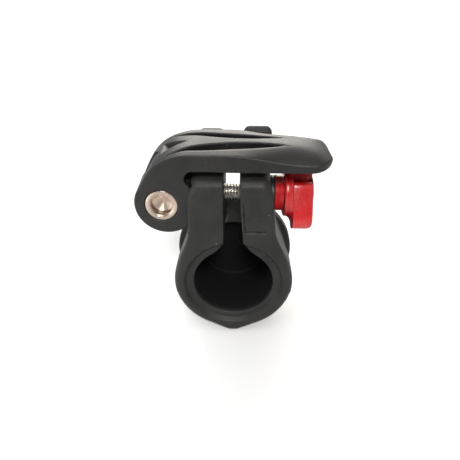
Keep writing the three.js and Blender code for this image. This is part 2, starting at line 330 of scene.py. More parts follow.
def weld(piece, sharp_degrees):
    """Merges the doubled points at the poles and seams, turns the faces out and keeps real edges sharp."""
    mesh = piece.data
    work = bmesh.new()
    work.from_mesh(mesh)
    bmesh.ops.remove_doubles(work, verts=work.verts, dist=1e-7)
    bmesh.ops.dissolve_degenerate(work, edges=work.edges, dist=1e-7)
    bmesh.ops.recalc_face_normals(work, faces=work.faces)
    limit = math.radians(sharp_degrees)
    for edge in work.edges:
        edge.smooth = len(edge.link_faces) == 2 and edge.calc_face_angle(0) < limit
    work.to_mesh(mesh)
    work.free()
    return piece


def turned(profile, steps, place):
    """A profile of (along, radius) rows carried round an axis: each point is (along, r cos a, r sin a),
    then placed by place(along, across, up)."""
    angle = np.arange(steps) / steps * TAU
    along, radius = np.asarray(profile, float).T
    across = radius[:, None] * np.cos(angle)
    up = radius[:, None] * np.sin(angle)
    along = np.broadcast_to(along[:, None], across.shape)
    return place(along, across, up).reshape(-1, 3), wrapped_quads(len(profile), steps)


def on_tie(along, across, up):
    """Places a turned shape on the tie bolt's axis."""
    return np.stack([along, TIE_Y + across, PIN_Z + up], axis=-1)


def on_pin(along, across, up):
    """Places a turned shape on the pivot barrel's axis."""
    return np.stack([PIN_X + up, along, PIN_Z + across], axis=-1)


def rounded_profile(points, radius, steps=5):
    """The (along, radius) corners of a profile, each inner corner replaced by a curve of two equal
    tangents: p(t) = (1-t)^2 a + 2t(1-t) corner + t^2 b, with a and b up to radius away on each side."""
    points = [np.array(p, float) for p in points]
    out = [points[0]]
    for before, corner, after in zip(points, points[1:], points[2:]):
        back, ahead = before - corner, after - corner
        reach = min(radius, 0.45 * np.linalg.norm(back), 0.45 * np.linalg.norm(ahead))
        a = corner + back / max(np.linalg.norm(back), 1e-9) * reach
        b = corner + ahead / max(np.linalg.norm(ahead), 1e-9) * reach
        t = np.linspace(0, 1, steps)[:, None]
        out.extend((1 - t) ** 2 * a + 2 * t * (1 - t) * corner + t ** 2 * b)
    out.append(points[-1])
    return np.array(out)


# --- Clamp body ---------------------------------------------------------------------------------

def clamp_field(bore_r, collar_r):
    """The clamp body's field, for a bore and a collar of the given radius in millimetres. A leaning
    face's field is scaled by the cosine of its lean, so that it stays a distance."""
    keel_slope = math.radians(KEEL_DEGREES)

    def outline(x, y, z, rho):
        """Seen from the front: the collar, the block that the ears are cut from and the pointed keel.
        The collar is a circle, narrower at the waist, and the keel is two lines that touch it."""
        waist = smooth_step(y, WAIST_START, WAIST_END)
        ring = rho - (collar_r + (WAIST_R - collar_r) * waist)
        left = (EAR_LEFT + EAR_LEAN_LEFT * (z - EAR_FOOT)) - x
        right = (x - (EAR_RIGHT - EAR_LEAN_RIGHT * (z - EAR_FOOT))) * 0.992
        block = np.maximum(np.maximum(left, right), -z)
        neck = round_min(ring, block, 5.0)
        side = math.sin(keel_slope) * np.abs(x) - math.cos(keel_slope) * z - collar_r
        keel = np.maximum(round_max(side, KEEL_Z - z, 0.6), np.maximum(np.abs(x) - KEEL_HALF, z + 10))
        return np.minimum(neck, keel)

    def voids(x, y, z, rho):
        """What the moulding leaves open: the blind bore, the slot, whose corners run into the bore on
        an arc, and the gap above the bridge at the back."""
        right = (x - (SLOT_RIGHT + SLOT_LEAN * np.clip(SLOT_WIDE_Z - z, 0, 30))) * 0.997
        slot = np.maximum(np.maximum(right, SLOT_LEFT - x), -z)
        front = round_max(round_min(rho - bore_r, slot, 4.6), y - SLOT_END_Y, 0.8)
        bore = round_max(rho - bore_r, y - BORE_DEPTH, 0.8)
        bridge = (BRIDGE_TOP + BRIDGE_SLOPE * (y - 23) - z) * 0.91
        rear = np.maximum(np.maximum(x - SLOT_RIGHT - 0.8, SLOT_LEFT - x), bridge)
        rear = np.maximum(rear, SLOT_END_Y - 0.5 - y)
        return np.minimum(np.minimum(front, bore), rear)

    def mouth(y, rho):
        """The sunk ring round the bore that leads a tube in: a level ledge, and a soft slope up from it
        to the collar's face."""
        ledge = 1 - smooth_step(rho, MOUTH_R - MOUTH_SLOPE, MOUTH_R + MOUTH_SLOPE)
        return (y - MOUTH_DEPTH * ledge) * 0.75

    def panel(x, y, z):
        """The sunk blank panel on the right ear, leaning with it, and the deeper line along its left
        and lower edges."""
        u = x + PANEL_LEAN * (z - 22) - PANEL_X
        v = z - PANEL_Z
        across = np.abs(u) - PANEL_HALF_WIDTH
        along = np.abs(v) - PANEL_HALF_HEIGHT
        inner = np.minimum(np.maximum(across, along), 0)
        frame_edge = np.hypot(np.maximum(across, 0), np.maximum(along, 0)) + inner
        sunk = np.maximum(frame_edge, y - PANEL_DEPTH)
        line = np.maximum(np.abs(frame_edge + 0.1) - 0.26, y - PANEL_LINE_DEPTH)
        line = np.maximum(line, np.maximum(u - 3.3, v - 4.8))
        return np.minimum(sunk, line)

    def guards(x, y, z):
        """The two blades behind the lever: slabs with rounded corners, whose tops slope to the front."""
        top = (z - GUARD_TOP + GUARD_SLOPE * (BODY_DEPTH - y)) * 0.93
        left = round_max(np.abs(x - GUARD_LEFT_X) - GUARD_LEFT_HALF, top + GUARD_STEP, GUARD_CORNER)
        right = round_max(np.abs(x - GUARD_RIGHT_X) - GUARD_RIGHT_HALF, top, GUARD_CORNER)
        both = np.minimum(left, right)
        return np.maximum(round_max(both, GUARD_Y - y, 0.8), 26 - z)

    def field(x, y, z):
        """The mouldings' union, less the mouth, the voids, the lobe's pocket, the bolt's hole, the
        washer's seat and the panel."""
        rho = np.hypot(x, z)
        edge = 2.4 - 1.5 * smooth_step(z, 6, 17) + 2.1 * smooth_step(z, 33.5, 37.5)
        faces = round_max(z - EAR_TOP, -y, 3.6)
        solid = round_max(outline(x, y, z, rho), faces, edge)
        flange = round_max(rho - FLANGE_R, FLANGE_Y - y, 0.6)
        solid = round_min(solid, flange, 0.7)
        solid = round_min(solid, guards(x, y, z), 0.9 * smooth_step(z, 38, 39))
        solid = round_max(solid, y - BODY_DEPTH, 0.9)
        solid = np.maximum(solid, -mouth(y, rho))
        solid = round_max(solid, -voids(x, y, z, rho), 0.45)
        lobe_z = np.clip(z, LOBE_Z - 0.6, LOBE_Z + 1.6)
        pocket = np.hypot(x - LOBE_X, z - lobe_z) - LOBE_R - POCKET_GAP
        pocket = np.maximum(pocket, np.maximum(1.2 - y, y - GUARD_Y + 0.2))
        solid = round_max(solid, -pocket, 0.35)
        bolt = np.hypot(y - TIE_Y, z - PIN_Z)
        solid = round_max(solid, BOLT_HOLE_R - bolt, 0.3)
        seat = np.maximum(bolt - WASHER_SEAT_R, WASHER_LOW[0] - 0.1 - x)
        solid = round_max(solid, -seat, 0.25)
        return np.maximum(solid, -panel(x, y, z))

    return field


# --- Cam lever ----------------------------------------------------------------------------------

def arc(cx, cz, radius, start, end, steps):
    """Points on a circle, from one angle in degrees to another."""
    angle = np.radians(np.linspace(start, end, steps))
    return np.stack([cx + radius * np.cos(angle), cz + radius * np.sin(angle)], axis=1)


def bezier(p0, p1, p2, p3, steps):
    """A cubic curve: (1-t)^3 p0 + 3t(1-t)^2 p1 + 3t^2(1-t) p2 + t^3 p3."""
    t = np.linspace(0, 1, steps)[:, None]
    p0, p1, p2, p3 = (np.array(p, float) for p in (p0, p1, p2, p3))
    return (1 - t) ** 3 * p0 + 3 * t * (1 - t) ** 2 * p1 + 3 * t ** 2 * (1 - t) * p2 + t ** 3 * p3


def lever_outline():
    """The lever from the side, along its spine: the notch round the ear's corner, the underside, the
    tip, the top, the back and the lobe, as one closed run of points."""
    nose = TIP_X - 0.1
    top = SPINE_Z + 0.1
    return np.concatenate([
        arc(-12.8, UNDERSIDE_Z - 2.5, 2.5, 216, 90, 14),
        bezier((23, UNDERSIDE_Z), (27, UNDERSIDE_Z), (nose - 0.7, 42.8), (nose, 44.1), 12),
        bezier((nose, 44.1), (nose + 0.2, 45.0), (nose - 0.8, 45.7), (nose - 2.2, 46.3), 8)[1:],
        bezier((nose - 2.2, 46.3), (23, top), (10, top), (-8, top), 26)[1:],
        bezier((-8, top), (-22.4, top), (-28.6, 43.4), (-31.26, 33.34), 26)[1:],
        arc(LOBE_X, LOBE_Z, LOBE_R, 165, 393, 60)[1:],
    ])


def outline_distance(x, z, points):
    """Signed distance to a closed outline: the least distance to its segments, negative where a ray
    crosses the outline an odd number of times."""
    best = np.full(np.broadcast(x, z).shape, 1e9)
    inside = np.zeros(best.shape, bool)
    for (ax, az), (bx, bz) in zip(points, np.roll(points, -1, axis=0)):
        ex, ez = bx - ax, bz - az
        t = np.clip(((x - ax) * ex + (z - az) * ez) / (ex * ex + ez * ez + 1e-12), 0, 1)
        best = np.minimum(best, (x - ax - t * ex) ** 2 + (z - az - t * ez) ** 2)
        crosses = (az > z) != (bz > z)
        cut = ax + ex * (z - az) / (ez if abs(ez) > 1e-9 else 1e-9)
        inside ^= crosses & (x < cut)
    return np.where(inside, -1, 1) * np.sqrt(best)


def lever_field():
    """The cam lever's field: the outline from the side, cut by the top's surface and by the rounded
    tip as seen from above, less its hollows."""
    points = lever_outline()

    def rims(x, off, start, outer, inner, end, length):
        """Signed reach past a lens from start to end, whose rims are two quadratic curves."""
        s = (x - OPENING_X) / length
        ends = start * (1 - s) ** 2 + end * s ** 2
        return np.maximum(off - ends - outer * s * (1 - s), ends + inner * s * (1 - s) - off)

    def top_height(x, across):
        """The height of the top: spine - (spine - edge) off^power, with off from 0 at the middle to 1 at
        each side, leaning to one side, less a shallow scoop beside each long opening."""
        off = np.abs(across) / LEVER_HALF
        spine = SPINE_Z - TOP_FALL * np.clip((x - 13) / 17, 0, 1.1) ** 2.3
        edge = TOP_EDGE_Z - TOP_EDGE_FALL * smooth_step(x, -2, 22)
        dome = spine - (spine - edge) * np.minimum(off, 1.1) ** DOME_POWER
        scoop = rims(x, np.abs(across), 8.2, 17.8, -3.6, 3.6, 38.5)
        s = (x - OPENING_X) / OPENING_LENGTH
        middle = OPENING_START * (1 - s) ** 2 + OPENING_END * s ** 2 + 4.8 * s * (1 - s)
        side = smooth_step((np.abs(across) - middle) * -np.sign(across), -0.6, 0.6)
        return dome + TOP_LEAN * across - SCOOP_DEPTH * np.clip(-scoop, 0, 2.2) * side

    def openings(x, across, z):
        """The two lens openings, wider below, and between the rib's arms a triangle with a ramp in it."""
        undercut = 0.4 * np.clip(SPINE_Z - 0.7 - z, 0, 3.5) * smooth_step(x, -15, -9)
        lens = rims(x, np.abs(across), OPENING_START, 13.0, -2.8, OPENING_END, OPENING_LENGTH)
        slots = lens - undercut
        slots = np.maximum(slots, UNDERSIDE_Z - 4.5 - z)
        slope = 3.3 / 6.3
        sides = (np.abs(across) - slope * (-15.2 - x)) / math.hypot(1, slope)
        ramp = (45.1 - 0.25 * (x + 22) - z) * 0.97
        drop = np.maximum(-18.8 - 0.3 * across - x, UNDERSIDE_Z - 0.5 - z)
        return np.minimum(slots, np.maximum(sides, np.minimum(ramp, drop)))

    def field(x, y, z):
        """The lever's solid, whose back is crowned on the near side, less the channel below, the gap
        for the tie bolt, the openings, the window in the back and the barrel's hole."""
        across = y - LEVER_MID
        off = np.abs(across) / LEVER_HALF
        behind = np.maximum(smooth_step(z, 41, 45), smooth_step(z, 33.5, 39) * smooth_step(-x, 22, 27))
        crown = 0.9 * np.minimum(off, 1.2) ** 2.4 * behind * smooth_step(-across, -1, 1)
        side = outline_distance(x, z, points) + crown * (1 - smooth_step(x, -8, 0))
        side = round_max(side, (z - top_height(x, across)) * 0.95, 0.2)
        dx = x - (TIP_X - TIP_CORNER)
        dy = np.abs(across) - (LEVER_HALF - TIP_CORNER)
        plan = np.hypot(np.maximum(dx, 0), np.maximum(dy, 0)) + np.minimum(np.maximum(dx, dy), 0)
        solid = round_max(side, plan - TIP_CORNER, 0.3)
        channel = np.maximum(np.abs(across) - (LEVER_HALF - CHANNEL_WALL), z - CHANNEL_TOP)
        channel = np.maximum(channel, x - (TIP_X - 6))
        solid = round_max(solid, -round_max(channel, -10 - x, 1), 0.5)
        fork = np.maximum(np.abs(y - TIE_Y) - FORK_HALF, np.maximum(z - FORK_TOP, x + 8))
        solid = round_max(solid, -fork, 0.4)
        solid = round_max(solid, -openings(x, across, z), 0.35)
        tall = np.where(z > WINDOW_Z, 3.0, 6.2)
        kite = (np.abs(across) / 7.8 + np.abs(z - WINDOW_Z) / tall - 1) * 2.4
        solid = round_max(solid, -np.maximum(kite, x + 22.5), 0.35)
        hole = np.hypot(x - PIN_X, z - PIN_Z) - (BARREL_HIGH[0] - BARREL_LOW[0]) / 2 - PIN_GAP
        return round_max(solid, -hole, 0.25)

    return field


# --- Knob ---------------------------------------------------------------------------------------

def knob_surface(wing_turn):
    """The winged knob as sections along the bolt. Each section's radius at angle a is a mix, by its
    wing weight, of a circle and of two wings that lie half a turn apart."""
    x0, x1 = KNOB_LOW[0], KNOB_HIGH[0]
    flange = x0 + 3.1
    shoulder = x1 - 1.3
    steps = 192
    a = np.arange(steps) / steps * TAU
    along, beside = np.cos(a - wing_turn), np.sin(a - wing_turn)

    def wing(c, s):
        """A rounded rectangle's radius: (sum of share^power)^(-1/power), where the shares are the
        parts of the way to its four sides."""
        shares = [np.maximum(c, 0) / WING_AHEAD, np.maximum(-c, 0) / WING_BACK]
        shares += [np.maximum(s, 0) / WING_WIDE_SIDE, np.maximum(-s, 0) / WING_NARROW_SIDE]
        return sum(share ** WING_CORNER_POWER for share in shares) ** (-1 / WING_CORNER_POWER)

    both = wing(along, beside) ** WING_JOIN_POWER + wing(-along, -beside) ** WING_JOIN_POWER
    bar = both ** (1 / WING_JOIN_POWER)
    boss = [
        (2.0, KNOB_BORE_R),
        (0.25, KNOB_BORE_R),
        (0.0, KNOB_BORE_R + 0.25),
        (0.0, BOSS_R - 0.4),
        (0.1, BOSS_R - 0.15),
        (0.4, BOSS_R),
    ]
    collar = [
        (-0.2, BOSS_R),
        (-0.05, BOSS_R + 0.1),
        (0.0, BOSS_R + 0.4),
        (0.0, KNOB_FLANGE_R - 0.5),
        (0.15, KNOB_FLANGE_R - 0.15),
        (0.5, KNOB_FLANGE_R),
    ]
    recess = [
        (0.0, KNOB_BORE_R + 1.2),
        (0.15, KNOB_BORE_R + 0.85),
        (1.3, KNOB_BORE_R + 0.75),
        (1.35, KNOB_BORE_R),
        (3.0, KNOB_BORE_R),
    ]

    def wings(x, inset, weight=1.0):
        """A section inset from the wings' outline; the weight is 0 for the flange's circle."""
        return x, KNOB_FLANGE_R + (np.maximum(bar, 1) - inset - KNOB_FLANGE_R) * weight

    rows = [(x0 + gap, np.full(steps, radius)) for gap, radius in boss]
    rows += [(flange + gap, np.full(steps, radius)) for gap, radius in collar]
    for t in np.linspace(0, 1, 9):
        rows.append(wings(flange + 0.8 + 2.2 * t, 0.0, 1 - math.sqrt(max(1 - t * t, 0))))
    rows.append(wings(flange + 3.4, 0.0))
    for t in np.linspace(0, 1, 6):
        rows.append(wings(shoulder + 0.2 * (t - 1), 0.12 * t))
    for t in np.linspace(0.15, 1, 6):
        turn = t * math.pi / 2
        rows.append(wings(shoulder + (x1 - shoulder) * math.sin(turn), 0.12 + 1.3 * (1 - math.cos(turn))))
    end = rows[-1][1]
    rows += [(x1, end + (KNOB_BORE_R + 1.2 - end) * t) for t in (0.35, 0.7)]
    rows += [(x1 - gap, np.full(steps, radius)) for gap, radius in recess]
    along = np.array([row[0] for row in rows])[:, None]
    radius = np.stack([row[1] for row in rows])
    across, up = radius * np.sin(a), radius * np.cos(a)
    points = on_tie(np.broadcast_to(along, radius.shape), across, up).reshape(-1, 3)
    quads = wrapped_quads(len(rows), steps)
    first = np.arange(steps)
    last = (len(rows) - 1) * steps + first
    closing = np.stack([last, np.roll(last, -1), np.roll(first, -1), first], axis=1)
    return points, np.concatenate([quads, closing])


# --- Tie bolt, barrel, washer and insert --------------------------------------------------------

def threaded_bolt(pitch, major, depth):
    """The bolt as radius over (along, angle): major - depth * ramp, where ramp is a rolled thread's
    rounded trapezoid of the phase along / pitch - angle / 2 pi, faded out at each end by a chamfer."""
    steps = 48
    x0, x1 = BOLT_LOW[0], BOLT_HIGH[0]
    along = np.linspace(x0, x1, int((x1 - x0) / pitch * 14))
    angle = np.arange(steps) / steps * TAU
    phase = (along[:, None] / pitch - angle[None, :] / TAU) % 1.0
    ramp = smooth_step(np.abs(phase - 0.5) * 2, 0.12, 0.88)
    radius = major - depth * ramp
    chamfer = np.minimum(along - x0, x1 - along)[:, None]
    radius = np.minimum(radius, major - depth * 1.3 + chamfer * 1.0)
    rows = np.broadcast_to(along[:, None], radius.shape)
    points = on_tie(rows, radius * np.cos(angle), radius * np.sin(angle))
    hub = np.broadcast_to(on_tie(x0, 0.0, 0.0), (1, steps, 3))
    tip = np.broadcast_to(on_tie(x1, 0.0, 0.0), (1, steps, 3))
    points = np.concatenate([hub, points, tip])
    return points.reshape(-1, 3), wrapped_quads(len(points), steps)


def barrel_profile(drill_r, depth, point):
    """The barrel's half section, along and radius: a drilled, coned and chamfered hole at each end."""
    y0, y1 = BARREL_LOW[1], BARREL_HIGH[1]
    outer = (BARREL_HIGH[0] - BARREL_LOW[0]) / 2
    end = [
        (depth + point, 0.0),
        (depth + 0.05, drill_r - 0.08),
        (depth, drill_r),
        (0.38, drill_r),
        (0.33, drill_r + 0.02),
        (0.02, drill_r + 0.36),
        (0.0, drill_r + 0.42),
        (0.0, outer - 0.3),
        (0.06, outer - 0.12),
        (0.22, outer),
        (0.4, outer),
    ]
    near = [(y0 + a, r) for a, r in end]
    far = [(y1 - a, r) for a, r in reversed(end)]
    return near + far


def washer_profile(x0, x1, inner, outer, edge):
    """A flat ring's section with eased edges, closed on itself."""
    corners = [(x0, (inner + outer) / 2), (x0, outer), (x1, outer), (x1, inner), (x0, inner)]
    return rounded_profile(corners + [(x0, (inner + outer) / 2)], edge)


# --- Materials ----------------------------------------------------------------------------------

class Value:
    """A number socket. Arithmetic on it adds Math nodes."""

    def __init__(self, shader, socket):
        self.shader = shader
        self.socket = socket

    def maths(self, operation, a, b=0.0):
        """A Math node's result."""
        made = self.shader.node("ShaderNodeMath", {"operation": operation}, {0: a, 1: b})
        return Value(self.shader, made.outputs[0])

    def __add__(self, other):
        return self.maths("ADD", self, other)

    def __sub__(self, other):
        return self.maths("SUBTRACT", self, other)

    def __rsub__(self, other):
        return self.maths("SUBTRACT", other, self)

    def __mul__(self, other):
        return self.maths("MULTIPLY", self, other)

    def __truediv__(self, other):
        return self.maths("DIVIDE", self, other)

    def __pow__(self, other):
        return self.maths("POWER", self, other)

    __radd__ = __add__
    __rmul__ = __mul__

    def above(self, low, high):
        """0 below low and 1 above high, in a straight line between them."""
        kept = {"clamp": True}
        inputs = {"Value": self, "From Min": low, "From Max": high}
        return Value(self.shader, self.shader.node("ShaderNodeMapRange", kept, inputs).outputs[0])

    def wave(self):
        """The sine."""
        return self.maths("SINE", self)


class Nodes:
    """A node tree under construction."""

    def __init__(self, tree):
        self.tree = tree

    def node(self, kind, settings=None, inputs=None):
        """Adds a node, sets its settings, then links or fills its inputs, which are named or numbered."""
        made = self.tree.nodes.new(kind)
        for key, setting in (settings or {}).items():
            setattr(made, key, setting)
        for key, value in (inputs or {}).items():
            self.feed(made.inputs[key], value)
        return made

    def feed(self, socket, value):
        """Links a socket or a Value to an input, or sets the input's constant."""
        value = value.socket if isinstance(value, Value) else value
        if isinstance(value, bpy.types.NodeSocket):
            self.tree.links.new(value, socket)
        else:
            socket.default_value = value


class Shader(Nodes):
    """A material under construction, with one Principled surface."""

    MIX_FIRST = 6
    MIX_SECOND = 7
    MIX_RESULT = 2

    def __init__(self, name):
        self.material = bpy.data.materials.new(name)
        self.material.use_nodes = True
        super().__init__(self.material.node_tree)
        self.surface = self.tree.nodes["Principled BSDF"]
        self.place = self.node("ShaderNodeTexCoord").outputs["Object"]

    def noise(self, size, detail=3.0, stretch=(1, 1, 1)):
        """Noise whose lumps are about size metres across, stretched along the axes."""
        scale = tuple(1 / (size * s) for s in stretch)
        spot = self.node("ShaderNodeMapping", None, {"Vector": self.place, "Scale": scale}).outputs[0]
        inputs = {"Vector": spot, "Scale": 1.0, "Detail": detail}
        return Value(self, self.node("ShaderNodeTexNoise", None, inputs).outputs[0])

    def cells(self, size):
        """Distance to the nearest of scattered points, about size metres apart, in cell widths."""
        inputs = {"Vector": self.place, "Scale": 1 / size}
        return Value(self, self.node("ShaderNodeTexVoronoi", None, inputs).outputs["Distance"])

    def edges(self, low, high):
        """1 on worn outside edges and 0 on flat and hollow places."""
        return Value(self, self.node("ShaderNodeNewGeometry").outputs["Pointiness"]).above(low, high)

    def axis(self, index):
        """One coordinate of the place on the piece, in metres."""
        return Value(self, self.node("ShaderNodeSeparateXYZ", None, {0: self.place}).outputs[index])

    def mix(self, factor, first, second):
        """The first colour where the factor is 0, and the second where it is 1."""
        first = (*first, 1) if isinstance(first, tuple) else first
        inputs = {"Factor": factor, self.MIX_FIRST: first, self.MIX_SECOND: (*second, 1)}
        return self.node("ShaderNodeMix", {"data_type": "RGBA"}, inputs).outputs[self.MIX_RESULT]

    def bump(self, height, strength, depth, under=None):
        """A normal bent by a height that stands depth metres tall, over another normal."""
        inputs = {"Height": height, "Strength": strength, "Distance": depth}
        if under is not None:
            inputs["Normal"] = under
        return self.node("ShaderNodeBump", None, inputs).outputs[0]

    def finish(self, **inputs):
        """Feeds the surface's inputs, and returns the material."""
        for key, value in inputs.items():
            name = key.replace("_", " ").title().replace("Ior", "IOR")
            self.feed(self.surface.inputs[name], value)
        return self.material


def moulded_nylon(name, tone, grain_size, roughness, worn, shine=0.22, bore=0.0):
    """Black glass-filled nylon: a fine spark-eroded grain, cloudy patches, rubbed edges and dust. Its
    shine is the specular level, and bore is 1 where the collar's bore wall gets a painted shade:
    near-black colour and more roughness, standing in for the shade inside the bore."""
    s = Shader(name)
    cloud = s.noise(0.009, 4)
    grain = s.noise(grain_size, 3)
    fibres = s.noise(0.00045, 2, (6, 1, 1))
    dust = (1 - s.cells(0.0034).above(0.03, 0.07)) * s.noise(0.004, 1).above(0.5, 0.58)
    rubbed = s.edges(0.535, 0.6) * s.noise(0.0016, 4).above(0.35, 0.62)
    depth = s.axis(1)
    ring = (s.axis(0) ** 2 + s.axis(2) ** 2) ** 0.5
    # Painted shade: inside 14.2 mm of the axis and deeper than 1.6 mm, the bore wall's mask for near-black
    # colour
    painted_bore_shade = (1 - ring.above(0.0142, 0.0146)) * depth.above(0.0016, 0.004) * bore
    dark = tuple(c * 0.8 for c in tone)
    pale = tuple(c * 1.3 for c in tone)
    colour = s.mix(cloud.above(0.35, 0.65), dark, pale)
    colour = s.mix(grain.above(0.42, 0.6) * 0.5, colour, tuple(c * 0.55 for c in tone))
    # Painted shade: the bore wall is coloured near black, where shade falls inside the collar
    colour = s.mix(painted_bore_shade, colour, (0.002, 0.002, 0.0025))
    colour = s.mix(rubbed * worn * (1 - painted_bore_shade), colour, (0.2, 0.195, 0.185))
    colour = s.mix(dust * 0.6, colour, (0.35, 0.35, 0.34))
    rough = roughness + (cloud - 0.5) * 0.16 + (grain - 0.5) * 0.5 - rubbed * 0.1 + painted_bore_shade * 0.3
    skin = s.bump(grain, 0.55, 0.00012)
    skin = s.bump(fibres, 0.12, 0.00004, skin)
    return s.finish(base_color=colour, roughness=rough, normal=skin, specular_ior_level=shine)


def turned_steel(name, tone):
    """Steel faced on a lathe: fine rings about the pin, with slight stains."""
    s = Shader(name)
    dx = s.axis(0) - PIN_X * MM
    dz = s.axis(2) - PIN_Z * MM
    radius = (dx * dx + dz * dz) ** 0.5
    wander = s.noise(0.0008, 2)
    rings = (radius * (TAU / 0.00021) + wander * 3.0).wave()
    coarse = (radius * (TAU / 0.0009) + wander * 1.5).wave()
    stain = s.noise(0.0025, 4).above(0.35, 0.7)
    colour = s.mix(stain, tone, tuple(c * 0.82 for c in tone))
    rough = 0.24 + stain * 0.12 + rings * 0.03
    skin = s.bump(rings * 0.6 + coarse * 0.4, 0.8, 0.000025)
    return s.finish(base_color=colour, metallic=1.0, roughness=rough, normal=skin)


def plated_steel(name, tone, roughness):
    """Zinc-plated steel: dull, cloudy, with grime and fine scratches along the bolt."""
    s = Shader(name)
    cloud = s.noise(0.0018, 5)
    scratch = s.noise(0.0002, 2, (14, 1, 1))
    grime = s.noise(0.0012, 4).above(0.5, 0.72)
    colour = s.mix(cloud.above(0.3, 0.7), tone, tuple(c * 0.75 for c in tone))
    colour = s.mix(grime * 0.55, colour, (0.09, 0.075, 0.06))
    rough = roughness + cloud * 0.12 + grime * 0.15
    return s.finish(
        base_color=colour, metallic=1.0, roughness=rough, normal=s.bump(scratch, 0.3, 0.00002)
    )


def red_plastic(name, tone):
    """Glossy red plastic: a faint ripple from the mould, handling scuffs and paler rubbed edges."""
    s = Shader(name)
    ripple = s.noise(0.0022, 2)
    fine = s.noise(0.00025, 2)
    scuff = s.noise(0.0007, 5, (1, 3, 3)).above(0.56, 0.72)
    rubbed = s.edges(0.52, 0.6)
    colour = s.mix(ripple.above(0.3, 0.7), tone, tuple(c * 0.82 for c in tone))
    colour = s.mix(rubbed * 0.3, colour, (0.85, 0.16, 0.15))
    rough = 0.27 + scuff * 0.14 + (fine - 0.5) * 0.08
    skin = s.bump(ripple, 0.25, 0.00008)
    skin = s.bump(fine, 0.2, 0.00002, skin)
    return s.finish(base_color=colour, roughness=rough, normal=skin)


def turned_brass(name, tone):
    """Brass turned on the bolt's axis: fine feed marks and a little tarnish."""
    s = Shader(name)
    marks = (s.axis(0) * (TAU / 0.00018) + s.noise(0.001, 2) * 2.0).wave()
    tarnish = s.noise(0.0015, 4).above(0.42, 0.7)
    colour = s.mix(tarnish, tone, (0.36, 0.22, 0.08))
    return s.finish(
        base_color=colour, metallic=1.0, roughness=0.28 + tarnish * 0.2, normal=s.bump(marks, 0.2, 0.00001)
    )


def pale_floor(name, tone):
    """A pale matt sweep with the faintest mottling."""
    s = Shader(name)
    patch = s.noise(0.05, 3)
    colour = s.mix(patch.above(0.3, 0.7), tone, tuple(c * 0.985 for c in tone))
    return s.finish(base_color=colour, roughness=0.85)


def dress(piece, material):
    """Gives a piece one material in place of any it has."""
    piece.data.materials.clear()
    piece.data.materials.append(material)


# --- Stage --------------------------------------------------------------------------------------

def hold(name, data, degrees=(0, 0, 0), place=(0, 0, 0)):
    """Puts a mesh, lamp or camera into the scene, turned and placed."""
    holder = bpy.data.objects.new(name, data)
    holder.location = place
    holder.rotation_euler = [math.radians(angle) for angle in degrees]
    bpy.context.scene.collection.objects.link(holder)
    return holder


def studio_sky():
    """An even sky, dimmer as a light on the pieces than where the camera sees it."""
    world = bpy.data.worlds.new("studio")
    world.use_nodes = True
    sky = world.node_tree.nodes["Background"]
    nodes = Nodes(world.node_tree)
    nodes.feed(sky.inputs["Color"], (0.98, 0.99, 1.0, 1.0))
    ray = nodes.node("ShaderNodeLightPath").outputs["Is Camera Ray"]
    levels = {"Value": ray, "To Min": SKY_ON_PIECES, "To Max": SKY_SEEN}
    nodes.feed(sky.inputs["Strength"], nodes.node("ShaderNodeMapRange", None, levels).outputs["Result"])
    return world


# --- Settings and operators ---------------------------------------------------------------------

class ClampSizes(bpy.types.PropertyGroup):
    """Sizes of the clamp that a user would change."""

    bore_radius: FloatProperty(
        name="Bore radius", description="Radius of the tube that the collar grips", default=0.014,
        min=0.01, max=0.03, subtype="DISTANCE", unit="LENGTH")
    collar_radius: FloatProperty(
        name="Collar radius", description="Outside radius of the collar's front", default=0.0209,
        min=0.015, max=0.04, subtype="DISTANCE", unit="LENGTH")
    thread_pitch: FloatProperty(
        name="Thread pitch", description="Distance from one thread to the next", default=0.001,
        min=0.0005, max=0.002, precision=5, subtype="DISTANCE", unit="LENGTH")
    wing_turn: FloatProperty(
        name="Wing turn", description="How far the knob's wings lean forward from upright",
        default=math.radians(205), subtype="ANGLE", unit="ROTATION")


class ClampColours(bpy.types.PropertyGroup):
    """Colours of the clamp's finishes."""

    nylon: FloatVectorProperty(
        name="Nylon", description="The collar's black", default=(0.017, 0.0169, 0.0164), subtype="COLOR",
        min=0, max=1)
    lever: FloatVectorProperty(
        name="Lever", description="The lever's black", default=(0.0135, 0.0133, 0.013), subtype="COLOR",
        min=0, max=1)
    knob: FloatVectorProperty(
        name="Knob", description="The knob's red", default=(0.4, 0.008, 0.01), subtype="COLOR",
        min=0, max=1)


class CLAMP_OT_stage(bpy.types.Operator):
    """Set up the floor, the soft studio lights and the camera"""

    bl_idname = "pipe_clamp.stage"
    bl_label = "Stage"

    def execute(self, context):
        context.scene.world = studio_sky()
        z = CAD_BOX[0][2] - 0.0002
        corners = [(x * FLOOR_REACH, y * FLOOR_REACH, z) for x, y in ((-1, -1), (1, -1), (1, 1), (-1, 1))]
        mesh = bpy.data.meshes.new("floor")
        mesh.from_pydata(corners, [], [(0, 1, 2, 3)])
        floor = hold("floor", mesh)
        dress(floor, pale_floor("floor_sweep", FLOOR_TONE))
        for name, elevation, azimuth, strength, width, colour in SUNS:
            lamp = bpy.data.lights.new(name, "SUN")
            lamp.energy = strength
            lamp.angle = math.radians(width)
            lamp.color = colour
            hold(name, lamp, (90 - elevation, 0, azimuth))
        glow = bpy.data.lights.new("left_panel", "AREA")
        glow.energy = SIDE_PANEL_WATTS
        glow.size = SIDE_PANEL_SIZE
        hold("left_panel", glow, SIDE_PANEL_TURN, SIDE_PANEL_PLACE).visible_camera = False
        lens = bpy.data.cameras.new("camera")
        lens.lens = CAMERA_LENS
        lens.sensor_width = 36
        lens.clip_start = 0.005
        context.scene.camera = hold("camera", lens, CAMERA_TURN, CAMERA_PLACE)
        context.scene.view_settings.view_transform = "Standard"
        return {"FINISHED"}


